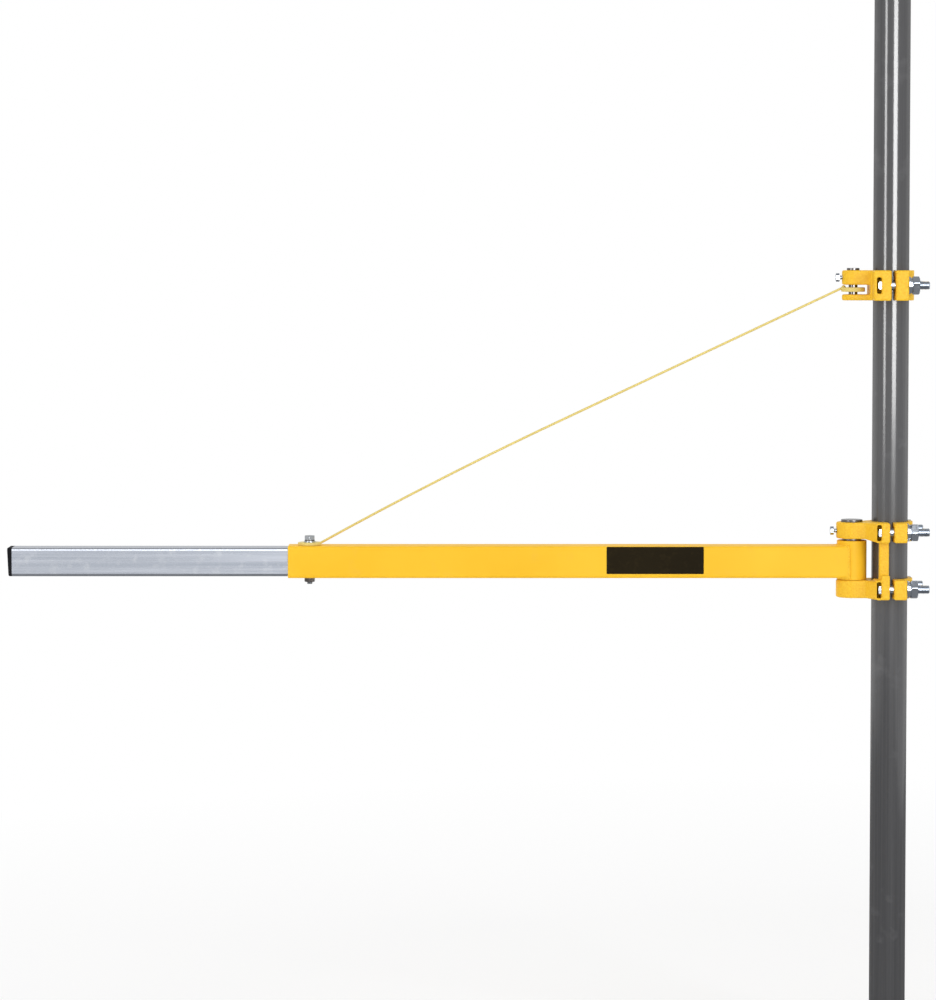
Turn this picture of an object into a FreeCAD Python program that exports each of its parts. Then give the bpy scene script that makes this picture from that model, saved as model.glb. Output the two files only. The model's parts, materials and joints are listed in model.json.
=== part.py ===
import FreeCAD, Part
import math
import os
import re

# Driving dimensions in millimetres, each with what it measures
DIMENSIONS = {
    "pole_diameter": (48.3, "mast pole, outside"),
    "pole_wall": (3.2, "mast pole, wall"),
    "pole_length": (1500, "mast pole, end to end"),
    "arm_height": (670, "arm's axis above the foot of the pole"),
    "pivot_offset": (51, "pole's axis to pivot axis"),
    "clamp_clearance": (0.15, "clamp bore over the pole, on the radius"),
    "cast_edge": (2.0, "rounding of the castings' edges"),
    "lug_gap": (4.5, "pole's axis to the mating face of a bracket"),
    "lug_thickness": (11.2, "swivel bracket's lug, along the clamp bolt"),
    "stay_lug_thickness": (13.2, "stay bracket's lug, along the clamp bolt"),
    "lug_reach": (45, "pole's axis to the end of a lug"),
    "lug_height": (26.6, "swivel bracket's lugs"),
    "pad_rise": (6.5, "thick part of the lower lugs above the rest of them"),
    "lug_inset": (1, "clamp bolts off the middle of their ear, towards the arm"),
    "bolt_offset": (33, "pole's axis to a clamp bolt's axis"),
    "saddle_gap": (1.3, "pole's axis to the mating face of a saddle"),
    "saddle_lug": (17.5, "saddle lug, along the clamp bolt"),
    "saddle_wall": (6.5, "saddle's ring round the pole"),
    "strap_width": (13.3, "strap between the lugs, along the clamp bolt"),
    "strap_depth": (9, "strap, away from the pole"),
    "strap_clearance": (0.35, "strap clear of the pole's bore"),
    "ear_radius": (21, "swivel bracket's ears, round the pivot"),
    "upper_ear": (22, "upper ear's thickness"),
    "lower_ear": (24, "lower ear's thickness"),
    "seat_gap": (0.3, "running gap at each end of the sleeve"),
    "sleeve_diameter": (40, "pivot sleeve, outside"),
    "sleeve_length": (52.5, "pivot sleeve"),
    "sleeve_drop": (24.2, "arm's axis to the bottom of the sleeve"),
    "thrust_diameter": (26, "thrust washer, outside"),
    "thrust_thickness": (2.5, "thrust washer"),
    "pin_diameter": (22, "pivot pin"),
    "pin_head_diameter": (29, "pivot pin's head"),
    "pin_head_height": (3.2, "pivot pin's head"),
    "pin_clearance": (0.05, "pin in its bore, on the radius"),
    "stay_rise": (366, "arm's axis to the stay's upper eye"),
    "stay_lower_ear": (8.1, "fork's lower ear"),
    "fork_gap": (12.8, "between the fork's ears"),
    "stay_upper_ear": (19.5, "fork's upper ear"),
    "stay_ear_radius": (15, "fork's ears, round the pin"),
    "fork_floor": (30, "pole's axis to the floor of the fork"),
    "stay_pin_diameter": (12, "stay pin"),
    "stay_pin_head_diameter": (17, "stay pin's head"),
    "stay_pin_head_height": (3, "stay pin's head"),
    "stay_diameter": (3.2, "stay rod"),
    "stay_straight": (430, "stay rod's straight length from its upper eye, along its chord"),
    "stay_bow": (6.3, "end of that straight length above the stay's chord"),
    "stay_lift": (3, "stay rod's upper end above the middle of its eye"),
    "eye_diameter": (32, "stay's eyes, outside"),
    "eye_thickness": (4, "stay's lower eye"),
    "fork_eye_thickness": (6, "stay's upper eye, in the fork"),
    "arm_side": (43, "arm tube, outside"),
    "arm_wall": (2, "arm tube, wall"),
    "arm_corner": (4, "arm tube, outer corner radius"),
    "arm_inner_corner": (2, "arm tube, inner corner radius"),
    "arm_reach": (759.4, "pivot axis to the arm tube's outer end"),
    "arm_stop": (7.5, "pivot axis to the arm tube's welded end"),
    "slide_clearance": (0.3, "extension tube in the arm tube, each side"),
    "extension_wall": (2, "extension tube, wall"),
    "corner_relief": (2, "extension tube's corner radius over the arm tube's inner one"),
    "extension_inner_corner": (0.5, "extension tube, inner corner radius"),
    "extension_length": (600, "extension tube"),
    "extension_reach": (1130.5, "pivot axis to the extension tube's outer end"),
    "plug_flange": (5.5, "end plug's flange"),
    "plug_depth": (18, "end plug inside the tube"),
    "plug_clearance": (0.15, "end plug in the tube, each side"),
    "plug_edge": (1.2, "rounding of the end plug's flange"),
    "bolt_diameter": (12, "clamp bolt"),
    "bolt_length": (65, "clamp bolt, under the head"),
    "bolt_flats": (18, "clamp bolt's head, across flats"),
    "bolt_head": (4.2, "clamp bolt's head"),
    "head_gap": (2, "room behind a clamp bolt's head"),
    "slot_wall": (0.9, "swivel bracket's front lug behind that room"),
    "head_clearance": (0.4, "room round a clamp bolt's head, each side"),
    "nut_flats": (22, "clamp nut, across flats"),
    "nut_height": (10, "clamp nut"),
    "washer_diameter": (24, "clamp washer, outside"),
    "washer_thickness": (2.5, "clamp washer"),
    "lock_washer_diameter": (21, "clamp lock washer, outside"),
    "lock_washer_thickness": (2.5, "clamp lock washer"),
    "arm_bolt_diameter": (8, "arm bolt"),
    "arm_bolt_length": (60, "arm bolt, under the head"),
    "arm_bolt_flats": (13, "arm bolt and nut, across flats"),
    "arm_bolt_head": (5.3, "arm bolt's head"),
    "arm_bolt_inset": (28.4, "arm tube's outer end to the arm bolt"),
    "arm_nut_height": (6.5, "arm bolt's nut"),
    "arm_washer_diameter": (16, "arm bolt's washer, outside"),
    "arm_washer_thickness": (1.6, "arm bolt's washer"),
    "arm_lock_diameter": (13.6, "arm bolt's lock washer, outside"),
    "arm_lock_thickness": (2, "arm bolt's lock washer"),
    "screw_diameter": (6, "lock screw"),
    "screw_flats": (10, "lock screw's head, across flats"),
    "screw_head": (4.8, "lock screw's head"),
    "screw_standoff": (3.5, "lock screw's head clear of the ear"),
    "hole_clearance": (0.5, "bolt in its hole, on the radius"),
    "thread_clearance": (0.1, "nut or washer over a bolt, on the radius"),
    "spot_clearance": (1, "castings clear of washers and of the pivot pin's head"),
}
# Degrees by which a back clamp nut stands turned from the front one
BACK_NUT_TURN = 23
# Degrees by which the arm bolt's head and nut stand turned
ARM_HEAD_TURN = 30
ARM_NUT_TURN = 20

doc = FreeCAD.newDocument("HoistSwingArm")
sheet = doc.addObject("Spreadsheet::Sheet", "Dimensions")
for row, (alias, (value, meaning)) in enumerate(DIMENSIONS.items(), start=1):
    sheet.set(f"A{row}", meaning)
    sheet.set(f"B{row}", str(value))
    sheet.setAlias(f"B{row}", alias)
doc.recompute()

ALIAS = re.compile(r"\b(" + "|".join(DIMENSIONS) + r")\b")
UPRIGHT = FreeCAD.Rotation()
ALONG_X = FreeCAD.Rotation(FreeCAD.Vector(0, 1, 0), 90)
WIDENS_ALONG_X = FreeCAD.Rotation(FreeCAD.Vector(0, 0, 1), -90)
AXES = ("x", "y", "z")
POSITION_TOLERANCE = 1e-4
sub_parts = []

# Levels and faces that several sub-parts share
PIVOT_X = "(-pivot_offset)"
SLEEVE_BOTTOM = "(arm_height - sleeve_drop)"
SLEEVE_TOP = f"({SLEEVE_BOTTOM} + sleeve_length)"
LOWER_EAR_TOP = f"({SLEEVE_BOTTOM} - seat_gap)"
LOWER_EAR_BOTTOM = f"({LOWER_EAR_TOP} - lower_ear)"
UPPER_EAR_BOTTOM = f"({SLEEVE_TOP} + seat_gap + thrust_thickness)"
UPPER_EAR_TOP = f"({UPPER_EAR_BOTTOM} + upper_ear)"
UPPER_BOLTS = f"({UPPER_EAR_BOTTOM} + upper_ear / 2 - lug_inset)"
LOWER_BOLTS = f"({LOWER_EAR_BOTTOM} + lower_ear / 2 + lug_inset)"
EYE_LEVEL = "(arm_height + stay_rise)"
FORK_BOTTOM = f"({EYE_LEVEL} - fork_gap / 2)"
FORK_TOP = f"({EYE_LEVEL} + fork_gap / 2)"
STAY_BOTTOM = f"({FORK_BOTTOM} - stay_lower_ear)"
STAY_TOP = f"({FORK_TOP} + stay_upper_ear)"
STAY_BOLTS = f"(({STAY_BOTTOM} + {STAY_TOP}) / 2)"
STAY_HEIGHT = "(stay_lower_ear + fork_gap + stay_upper_ear)"
STAY_SCREW = f"({FORK_TOP} + stay_upper_ear / 2)"
FRONT_SIDE = ("-lug_reach", "0")
BACK_SIDE = ("0", "lug_reach")
BOTH_SIDES = ("-lug_reach", "lug_reach")
BORE_RADIUS = "(pole_diameter / 2 + clamp_clearance)"
BRACKET_FACE = "(-lug_gap)"
HEAD_SEAT = "(-lug_gap - lug_thickness)"
STAY_HEAD_SEAT = "(-lug_gap - stay_lug_thickness)"
LUG_BACK = f"({HEAD_SEAT} - bolt_head - head_gap - slot_wall)"
NUT_SEAT = "(saddle_gap + saddle_lug)"
ARM_TOP = "(arm_height + arm_side / 2)"
ARM_BOTTOM = "(arm_height - arm_side / 2)"
ARM_END = "(-pivot_offset - arm_reach)"
ARM_BOLT_X = f"({ARM_END} + arm_bolt_inset)"
EXTENSION_END = "(-pivot_offset - extension_reach)"
EXTENSION_SIDE = "(arm_side - 2 * arm_wall - 2 * slide_clearance)"


def size(alias):
    return float(sheet.get(alias))


def bind(item, setting, formula):
    item.setExpression(setting, ALIAS.sub(r"Dimensions.\1", formula))


def place(item, x, y, z):
    for axis, formula in zip(AXES, (x, y, z)):
        bind(item, f"Placement.Base.{axis}", formula)


def sub_part(item):
    sub_parts.append(item)
    return item


def box(label, x, y, z):
    """A block between the low and high formulas of each axis."""
    item = doc.addObject("Part::Box", label)
    for side, (low, high) in zip(("Length", "Width", "Height"), (x, y, z)):
        bind(item, side, f"{high} - {low}")
    place(item, x[0], y[0], z[0])
    return item


def rod(label, radius, start, length, turn=UPRIGHT):
    """A cylinder from its start point, upright or turned along X."""
    item = doc.addObject("Part::Cylinder", label)
    item.Placement = FreeCAD.Placement(FreeCAD.Vector(), turn)
    bind(item, "Radius", radius)
    bind(item, "Height", length)
    place(item, *start)
    return item


def hexagon(label, flats, start, length, turn):
    """A hexagonal prism, measured across its flats."""
    item = doc.addObject("Part::Prism", label)
    item.Placement = FreeCAD.Placement(FreeCAD.Vector(), turn)
    item.Polygon = 6
    bind(item, "Circumradius", f"{flats} / sqrt(3)")
    bind(item, "Height", length)
    place(item, *start)
    return item


def fuse(label, *pieces):
    item = doc.addObject("Part::MultiFuse", label)
    item.Shapes = list(pieces)
    item.Refine = True
    return item


def cut(label, body, *tools):
    item = doc.addObject("Part::Cut", label)
    item.Base = body
    item.Tool = tools[0] if len(tools) == 1 else fuse(f"{label}_tools", *tools)
    return item


def ring(label, radius, bore, start, length, turn=UPRIGHT):
    outside = rod(f"{label}_outside", radius, start, length, turn)
    inside = rod(f"{label}_inside", bore, start, length, turn)
    return cut(label, outside, inside)


def rounded(label, body, radius, wanted):
    """Rounds the edges of a body that the wanted function picks."""
    doc.recompute()
    item = doc.addObject("Part::Fillet", label)
    item.Base = body
    edges = enumerate(body.Shape.Edges, start=1)
    item.Edges = [(number, radius, radius) for number, edge in edges if wanted(edge)]
    return item


def any_edge(edge):
    return True


def along_x(edge):
    return edge.BoundBox.XLength > POSITION_TOLERANCE


def upright(edge):
    return edge.BoundBox.ZLength > POSITION_TOLERANCE


def rim_left_of(face_x):
    """Picks level edges that don't lie in the plane at face_x."""

    def wanted(edge):
        level = edge.BoundBox.ZLength < POSITION_TOLERANCE
        return level and edge.BoundBox.XMin < face_x - POSITION_TOLERANCE

    return wanted


def mast_pole():
    radius = "pole_diameter / 2"
    foot = ("0", "0", "0")
    return sub_part(ring("mast_pole", radius, f"{radius} - pole_wall", foot, "pole_length"))


def ear(label, radius, right_x, bottom, thickness):
    """A flat ear with a round end about the pivot axis, its rims rounded."""
    across = (f"-{radius}", radius)
    straight = box(f"{label}_straight", (PIVOT_X, right_x), across, (bottom, f"({bottom} + {thickness})"))
    end = rod(f"{label}_end", radius, (PIVOT_X, "0", bottom), thickness)
    blank = fuse(f"{label}_blank", straight, end)
    doc.recompute()
    return rounded(label, blank, size("cast_edge"), rim_left_of(blank.Shape.BoundBox.XMax))


def lugs(label, near, far, middle, height, across=BOTH_SIDES):
    """The lugs of a clamp half on one or both sides, one block before the pole's bore is cut."""
    levels = (f"({middle} - {height} / 2)", f"({middle} + {height} / 2)")
    blank = box(f"{label}_blank", (near, far), across, levels)
    return rounded(label, blank, size("cast_edge"), any_edge)


def bracket_lugs(label, lug_back, head_seat, middle, height):
    """A bracket's lugs: the front one is deeper, to hold its bolt's head in a slot."""
    return [
        lugs(f"{label}_front", lug_back, BRACKET_FACE, middle, height, FRONT_SIDE),
        lugs(f"{label}_back", head_seat, BRACKET_FACE, middle, height, BACK_SIDE),
    ]


def bolt_rods(label, radius, level, start_x, length):
    """Two cylinders on the axes of a clamp's front and back bolts."""
    rods = []
    for side, y in (("front", "-bolt_offset"), ("back", "bolt_offset")):
        rods.append(rod(f"{label}_{side}", radius, (start_x, y, level), length, ALONG_X))
    return rods


def bolt_holes(label, level, start_x, length):
    return bolt_rods(label, "(bolt_diameter / 2 + hole_clearance)", level, start_x, length)


def head_slots(label, level, head_seat):
    """Room for the heads of a bracket's bolts, open at the front and at the back."""
    half = "(bolt_flats / sqrt(3) + head_clearance)"
    along = (f"({head_seat} - bolt_head - head_gap)", head_seat)
    levels = (f"({level} - {half})", f"({level} + {half})")
    near = "(bolt_offset - bolt_flats / 2 - head_clearance)"
    far = "(lug_reach + cast_edge)"
    sides = (("front", (f"-{far}", f"-{near}")), ("back", (near, far)))
    return [box(f"{label}_{side}", along, across, levels) for side, across in sides]


def flare(label, narrow_levels, wide_levels):
    """A block that widens along X at the front, from an ear's width beside the pin's head to the lugs."""
    narrow = "(ear_radius - cast_edge)"
    wide = "(lug_reach - cast_edge)"
    narrow_end = f"({PIVOT_X} + pin_head_diameter / 2 + spot_clearance)"
    spans = {
        "X": (f"-{narrow}", narrow),
        "X2": (f"-{narrow}", wide),
        "Y": (narrow_end, f"({LUG_BACK} + cast_edge)"),
        "Z": narrow_levels,
        "Z2": wide_levels,
    }
    blank = doc.addObject("Part::Wedge", f"{label}_blank")
    blank.Placement = FreeCAD.Placement(FreeCAD.Vector(), WIDENS_ALONG_X)
    for name, (low, high) in spans.items():
        bind(blank, f"{name}min", low)
        bind(blank, f"{name}max", high)
    return rounded(label, blank, size("cast_edge"), along_x)


def pole_bore(label):
    """The clamps' bore round the pole, as high as the highest clamp."""
    return rod(label, BORE_RADIUS, ("0", "0", "0"), STAY_TOP)


def screw_hole(label, radius, level):
    length = f"({radius} + cast_edge)"
    start = (f"({PIVOT_X} - {length})", "0", level)
    return rod(label, "(screw_diameter / 2 + thread_clearance)", start, length, ALONG_X)


def swivel_bracket():
    lower_lug_bottom = f"({LOWER_BOLTS} - lug_height / 2)"
    pad_middle = f"({LOWER_BOLTS} + pad_rise / 2)"
    upper_lug_levels = (f"({UPPER_BOLTS} - lug_height / 2)", f"({UPPER_BOLTS} + lug_height / 2)")
    bodies = [
        ear("lower_ear_body", "ear_radius", BRACKET_FACE, LOWER_EAR_BOTTOM, "lower_ear"),
        ear("upper_ear_body", "ear_radius", BRACKET_FACE, UPPER_EAR_BOTTOM, "upper_ear"),
        # The lower flare stays level with its ear on top, below the arm's path
        flare("lower_flare", (LOWER_EAR_BOTTOM, LOWER_EAR_TOP), (lower_lug_bottom, LOWER_EAR_TOP)),
        flare("upper_flare", (UPPER_EAR_BOTTOM, UPPER_EAR_TOP), upper_lug_levels),
        lugs("lower_pads", HEAD_SEAT, BRACKET_FACE, pad_middle, "(lug_height + pad_rise)"),
    ]
    tools = [
        pole_bore("swivel_bore"),
        rod(
            "swivel_pin_bore",
            "(pin_diameter / 2 + pin_clearance)",
            (PIVOT_X, "0", LOWER_EAR_BOTTOM),
            f"{UPPER_EAR_TOP} - {LOWER_EAR_BOTTOM}",
        ),
        screw_hole("swivel_screw_hole", "ear_radius", UPPER_BOLTS),
    ]
    for name, level in (("lower", LOWER_BOLTS), ("upper", UPPER_BOLTS)):
        bodies += bracket_lugs(f"swivel_{name}_lug", LUG_BACK, HEAD_SEAT, level, "lug_height")
        tools += bolt_holes(f"swivel_{name}_hole", level, HEAD_SEAT, "lug_thickness")
        tools += head_slots(f"swivel_{name}_slot", level, HEAD_SEAT)
    inner = f"({BORE_RADIUS} + strap_clearance)"
    outer = f"({inner} + strap_depth)"
    sides = (("front", (f"-{outer}", f"-{inner}")), ("back", (inner, outer)))
    for side, across in sides:
        width = (f"({BRACKET_FACE} - strap_width)", BRACKET_FACE)
        blank = box(f"strap_{side}_blank", width, across, (LOWER_BOLTS, UPPER_BOLTS))
        bodies.append(rounded(f"strap_{side}", blank, size("cast_edge"), upright))
    return sub_part(cut("swivel_bracket", fuse("swivel_casting", *bodies), *tools))


def stay_bracket():
    height = (STAY_BOTTOM, STAY_TOP)
    lug_back = "(-fork_floor + cast_edge)"
    neck = box("stay_neck", ("(-fork_floor)", BRACKET_FACE), ("(-ear_radius)", "ear_radius"), height)
    bodies = [
        rounded("stay_neck_body", neck, size("cast_edge"), rim_left_of(-size("lug_gap"))),
        ear("stay_lower_ear_body", "stay_ear_radius", BRACKET_FACE, STAY_BOTTOM, "stay_lower_ear"),
        ear("stay_upper_ear_body", "stay_ear_radius", BRACKET_FACE, FORK_TOP, "stay_upper_ear"),
        *bracket_lugs("stay_lug", lug_back, STAY_HEAD_SEAT, STAY_BOLTS, STAY_HEIGHT),
    ]
    tools = [
        pole_bore("stay_bore"),
        rod(
            "stay_pin_bore",
            "(stay_pin_diameter / 2 + pin_clearance)",
            (PIVOT_X, "0", STAY_BOTTOM),
            STAY_HEIGHT,
        ),
        screw_hole("stay_screw_hole", "stay_ear_radius", STAY_SCREW),
        *bolt_holes("stay_hole", STAY_BOLTS, STAY_HEAD_SEAT, "stay_lug_thickness"),
        *head_slots("stay_slot", STAY_BOLTS, STAY_HEAD_SEAT),
    ]
    return sub_part(cut("stay_bracket", fuse("stay_casting", *bodies), *tools))


def saddle(label, level, height):
    """The far half of a clamp: a half ring round the pole with a lug at each side."""
    radius = f"({BORE_RADIUS} + saddle_wall)"
    bottom = f"({level} - {height} / 2)"
    wall = rod(f"{label}_wall", radius, ("0", "0", bottom), height)
    arms = lugs(f"{label}_lugs", "saddle_gap", NUT_SEAT, level, height)
    casting = fuse(f"{label}_casting", wall, arms)
    across = (f"-{radius}", radius)
    levels = (bottom, f"({bottom} + {height})")
    near_half = box(f"{label}_near_half", (f"-{radius}", "saddle_gap"), across, levels)
    holes = bolt_holes(f"{label}_hole", level, "saddle_gap", "saddle_lug")
    # The washers' spot faces run out through the ring's outside
    spot_radius = "(washer_diameter / 2 + spot_clearance)"
    holes += bolt_rods(f"{label}_spot", spot_radius, level, NUT_SEAT, radius)
    return sub_part(cut(label, casting, pole_bore(f"{label}_bore"), near_half, *holes))


def clamp_bolt(label, y, level, head_seat, nut_turn):
    """A clamp bolt with its flat washer, lock washer and nut."""
    head_start = (f"({head_seat} - bolt_head)", y, level)
    head = hexagon(f"{label}_head", "bolt_flats", head_start, "bolt_head", ALONG_X)
    shank = rod(f"{label}_shank", "bolt_diameter / 2", (head_seat, y, level), "bolt_length", ALONG_X)
    sub_part(fuse(f"{label}_bolt", head, shank))
    bore = "(bolt_diameter / 2 + thread_clearance)"
    washer_x = NUT_SEAT
    lock_x = f"({washer_x} + washer_thickness)"
    nut_x = f"({lock_x} + lock_washer_thickness)"
    for washer, start_x in (("washer", washer_x), ("lock_washer", lock_x)):
        start = (start_x, y, level)
        sizes = (f"{washer}_diameter / 2", bore, start, f"{washer}_thickness")
        sub_part(ring(f"{label}_{washer}", *sizes, ALONG_X))
    turned = ALONG_X.multiply(FreeCAD.Rotation(FreeCAD.Vector(0, 0, 1), nut_turn))
    body = hexagon(f"{label}_nut_body", "nut_flats", (nut_x, y, level), "nut_height", turned)
    thread = rod(f"{label}_nut_thread", bore, (nut_x, y, level), "nut_height", ALONG_X)
    sub_part(cut(f"{label}_nut", body, thread))


def headed_pin(label, sizes, bottom, seat):
    """An upright pin whose head bears on the seat level; sizes starts its dimensions' names."""
    shank = rod(f"{label}_shank", f"{sizes}_diameter / 2", (PIVOT_X, "0", bottom), f"{seat} - {bottom}")
    head = rod(f"{label}_head", f"{sizes}_head_diameter / 2", (PIVOT_X, "0", seat), f"{sizes}_head_height")
    return sub_part(fuse(label, shank, head))


def lock_screw(label, ear_radius, pin_diameter, level):
    """A hexagon screw through the round end of an ear, its tip close to the pin."""
    head_seat = f"({PIVOT_X} - {ear_radius} - screw_standoff)"
    tip = f"({PIVOT_X} - {pin_diameter} / 2 - thread_clearance)"
    head_start = (f"({head_seat} - screw_head)", "0", level)
    head = hexagon(f"{label}_head", "screw_flats", head_start, "screw_head", ALONG_X)
    shank_start = (head_seat, "0", level)
    shank = rod(f"{label}_shank", "screw_diameter / 2", shank_start, f"{tip} - {head_seat}", ALONG_X)
    return sub_part(fuse(label, head, shank))


def thrust_washer():
    start = (PIVOT_X, "0", f"({UPPER_EAR_BOTTOM} - thrust_thickness)")
    bore = "(pin_diameter / 2 + thread_clearance)"
    return sub_part(ring("thrust_washer", "thrust_diameter / 2", bore, start, "thrust_thickness"))


def pivot_sleeve():
    start = (PIVOT_X, "0", SLEEVE_BOTTOM)
    bore = "(pin_diameter / 2 + pin_clearance)"
    return sub_part(ring("pivot_sleeve", "sleeve_diameter / 2", bore, start, "sleeve_length"))


def square_bar(label, ends, half, corner):
    """A square bar along X about the arm's axis, with rounded corners."""
    across = (f"-{half}", half)
    levels = (f"(arm_height - {half})", f"(arm_height + {half})")
    return rounded(label, box(f"{label}_blank", ends, across, levels), corner, along_x)


def square_tube(label, ends, side, wall, outer_corner, inner_corner):
    outside = square_bar(f"{label}_outside", ends, f"({side} / 2)", outer_corner)
    inside = square_bar(f"{label}_inside", ends, f"({side} / 2 - {wall})", inner_corner)
    return cut(f"{label}_section", outside, inside)


def arm_bolt_hole(label):
    start = (ARM_BOLT_X, "0", ARM_BOTTOM)
    return rod(label, "(arm_bolt_diameter / 2 + hole_clearance)", start, "arm_side")


def arm_tube():
    ends = (ARM_END, f"({PIVOT_X} - arm_stop)")
    corners = (size("arm_corner"), size("arm_inner_corner"))
    tube = square_tube("arm", ends, "arm_side", "arm_wall", *corners)
    cope = rod("arm_cope", "sleeve_diameter / 2", (PIVOT_X, "0", SLEEVE_BOTTOM), "sleeve_length")
    return sub_part(cut("arm_tube", tube, cope, arm_bolt_hole("arm_bolt_hole")))


def extension_tube():
    ends = (EXTENSION_END, f"({EXTENSION_END} + extension_length)")
    corners = (size("arm_inner_corner") + size("corner_relief"), size("extension_inner_corner"))
    tube = square_tube("extension", ends, EXTENSION_SIDE, "extension_wall", *corners)
    return sub_part(cut("extension_tube", tube, arm_bolt_hole("extension_bolt_hole")))


def extension_plug():
    half = f"({EXTENSION_SIDE} / 2)"
    inner_half = f"({half} - extension_wall - plug_clearance)"
    blank = box(
        "plug_flange_blank",
        (f"({EXTENSION_END} - plug_flange)", EXTENSION_END),
        (f"-{half}", half),
        (f"(arm_height - {half})", f"(arm_height + {half})"),
    )
    flange = rounded("plug_flange_body", blank, size("plug_edge"), any_edge)
    ends = (f"({EXTENSION_END} - plug_flange / 2)", f"({EXTENSION_END} + plug_depth)")
    insert = square_bar("plug_insert", ends, inner_half, size("extension_inner_corner"))
    return sub_part(fuse("extension_plug", flange, insert))


def bowed_path(low, high):
    """A wire from high, straight at first and then along a tangent arc down to low."""
    chord = low - high
    down = FreeCAD.Vector(chord).normalize()
    upward = FreeCAD.Vector(down.z, 0, -down.x)
    bend = high + down * size("stay_straight") + upward * size("stay_bow")
    arc_chord = low - bend
    turn = arc_chord.getAngle(bend - high)
    outward = FreeCAD.Vector(arc_chord.z, 0, -arc_chord.x).normalize()
    rise = arc_chord.Length / 2 * math.tan(turn / 2)
    middle = bend + arc_chord * 0.5 + outward * rise
    return Part.Wire([Part.LineSegment(high, bend).toShape(), Part.Arc(bend, middle, low).toShape()])


def stay_rod():
    """A bowed rod with a flat eye at each end: round the arm bolt and round the stay pin."""
    low_thickness = size("eye_thickness")
    bolt_x = -size("pivot_offset") - size("arm_reach") + size("arm_bolt_inset")
    low = FreeCAD.Vector(bolt_x, 0, size("arm_height") + size("arm_side") / 2 + low_thickness / 2)
    high = FreeCAD.Vector(-size("pivot_offset"), 0, size("arm_height") + size("stay_rise"))
    # The rod ends inside each eye's rim, clear of the eye's hole
    inset = size("eye_diameter") / 2 - size("stay_diameter")
    upper_end = high + FreeCAD.Vector(-inset, 0, size("stay_lift"))
    path = bowed_path(low + FreeCAD.Vector(inset, 0, 0), upper_end)
    along = path.Edges[0].tangentAt(path.Edges[0].FirstParameter)
    section = Part.Circle(upper_end, along, size("stay_diameter") / 2)
    shape = path.makePipeShell([Part.Wire(section.toShape())], True, False)
    eyes = (
        (low, low_thickness, size("arm_bolt_diameter") / 2 + size("hole_clearance")),
        (high, size("fork_eye_thickness"), size("stay_pin_diameter") / 2 + size("pin_clearance")),
    )
    for centre, thickness, bore in eyes:
        bottom = centre - FreeCAD.Vector(0, 0, thickness / 2)
        shape = shape.fuse(Part.makeCylinder(size("eye_diameter") / 2, thickness, bottom))
        shape = shape.cut(Part.makeCylinder(bore, thickness, bottom))
    item = doc.addObject("Part::Feature", "stay_rod")
    item.Shape = shape
    item.Placement = FreeCAD.Placement()
    return sub_part(item)


def arm_bolt():
    """The bolt through the stay's lower eye and both tubes, with its washers and nut."""
    eye_top = f"({ARM_TOP} + eye_thickness)"
    washer_start = (ARM_BOLT_X, "0", eye_top)
    lock_start = (ARM_BOLT_X, "0", f"({eye_top} + arm_washer_thickness)")
    seat = f"({eye_top} + arm_washer_thickness + arm_lock_thickness)"
    bore = "(arm_bolt_diameter / 2 + thread_clearance)"
    sub_part(ring("arm_washer", "arm_washer_diameter / 2", bore, washer_start, "arm_washer_thickness"))
    sub_part(ring("arm_lock_washer", "arm_lock_diameter / 2", bore, lock_start, "arm_lock_thickness"))
    head_start = (ARM_BOLT_X, "0", seat)
    head_turn = FreeCAD.Rotation(FreeCAD.Vector(0, 0, 1), ARM_HEAD_TURN)
    head = hexagon("arm_bolt_head_body", "arm_bolt_flats", head_start, "arm_bolt_head", head_turn)
    shank_start = (ARM_BOLT_X, "0", f"({seat} - arm_bolt_length)")
    shank = rod("arm_bolt_shank", "arm_bolt_diameter / 2", shank_start, "arm_bolt_length")
    sub_part(fuse("arm_bolt", head, shank))
    nut_start = (ARM_BOLT_X, "0", f"({ARM_BOTTOM} - arm_nut_height)")
    nut_turn = FreeCAD.Rotation(FreeCAD.Vector(0, 0, 1), ARM_NUT_TURN)
    body = hexagon("arm_nut_body", "arm_bolt_flats", nut_start, "arm_nut_height", nut_turn)
    sub_part(cut("arm_nut", body, rod("arm_nut_thread", bore, nut_start, "arm_nut_height")))


mast_pole()
swivel_bracket()
stay_bracket()
saddle("swivel_upper_saddle", UPPER_BOLTS, "lug_height")
saddle("swivel_lower_saddle", LOWER_BOLTS, "lug_height")
saddle("stay_saddle", STAY_BOLTS, STAY_HEIGHT)
# Each clamp's bolt level, the seat of its bolts' heads, and the degrees by which its front nut is turned
clamps = (
    ("swivel_upper", UPPER_BOLTS, HEAD_SEAT, 29),
    ("swivel_lower", LOWER_BOLTS, HEAD_SEAT, 15),
    ("stay", STAY_BOLTS, STAY_HEAD_SEAT, 13),
)
for clamp, level, head_seat, nut_turn in clamps:
    clamp_bolt(f"{clamp}_front", "-bolt_offset", level, head_seat, nut_turn)
    clamp_bolt(f"{clamp}_back", "bolt_offset", level, head_seat, nut_turn + BACK_NUT_TURN)
headed_pin("pivot_pin", "pin", LOWER_EAR_BOTTOM, UPPER_EAR_TOP)
headed_pin("stay_pin", "stay_pin", STAY_BOTTOM, STAY_TOP)
lock_screw("pivot_lock_screw", "ear_radius", "pin_diameter", UPPER_BOLTS)
lock_screw("stay_lock_screw", "stay_ear_radius", "stay_pin_diameter", STAY_SCREW)
thrust_washer()
pivot_sleeve()
arm_tube()
extension_tube()
extension_plug()
stay_rod()
arm_bolt()

doc.recompute()
failed = [item.Label for item in doc.Objects if {"Invalid", "Error"} & set(item.State)]
failed += [item.Label for item in sub_parts if item.Shape.isNull() or not item.Shape.isValid()]
if failed:
    raise RuntimeError(f"not built: {failed}")

os.makedirs("parts", exist_ok=True)
for item in sub_parts:
    item.Shape.exportStep(os.path.join("parts", f"{item.Label}.step"))
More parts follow.
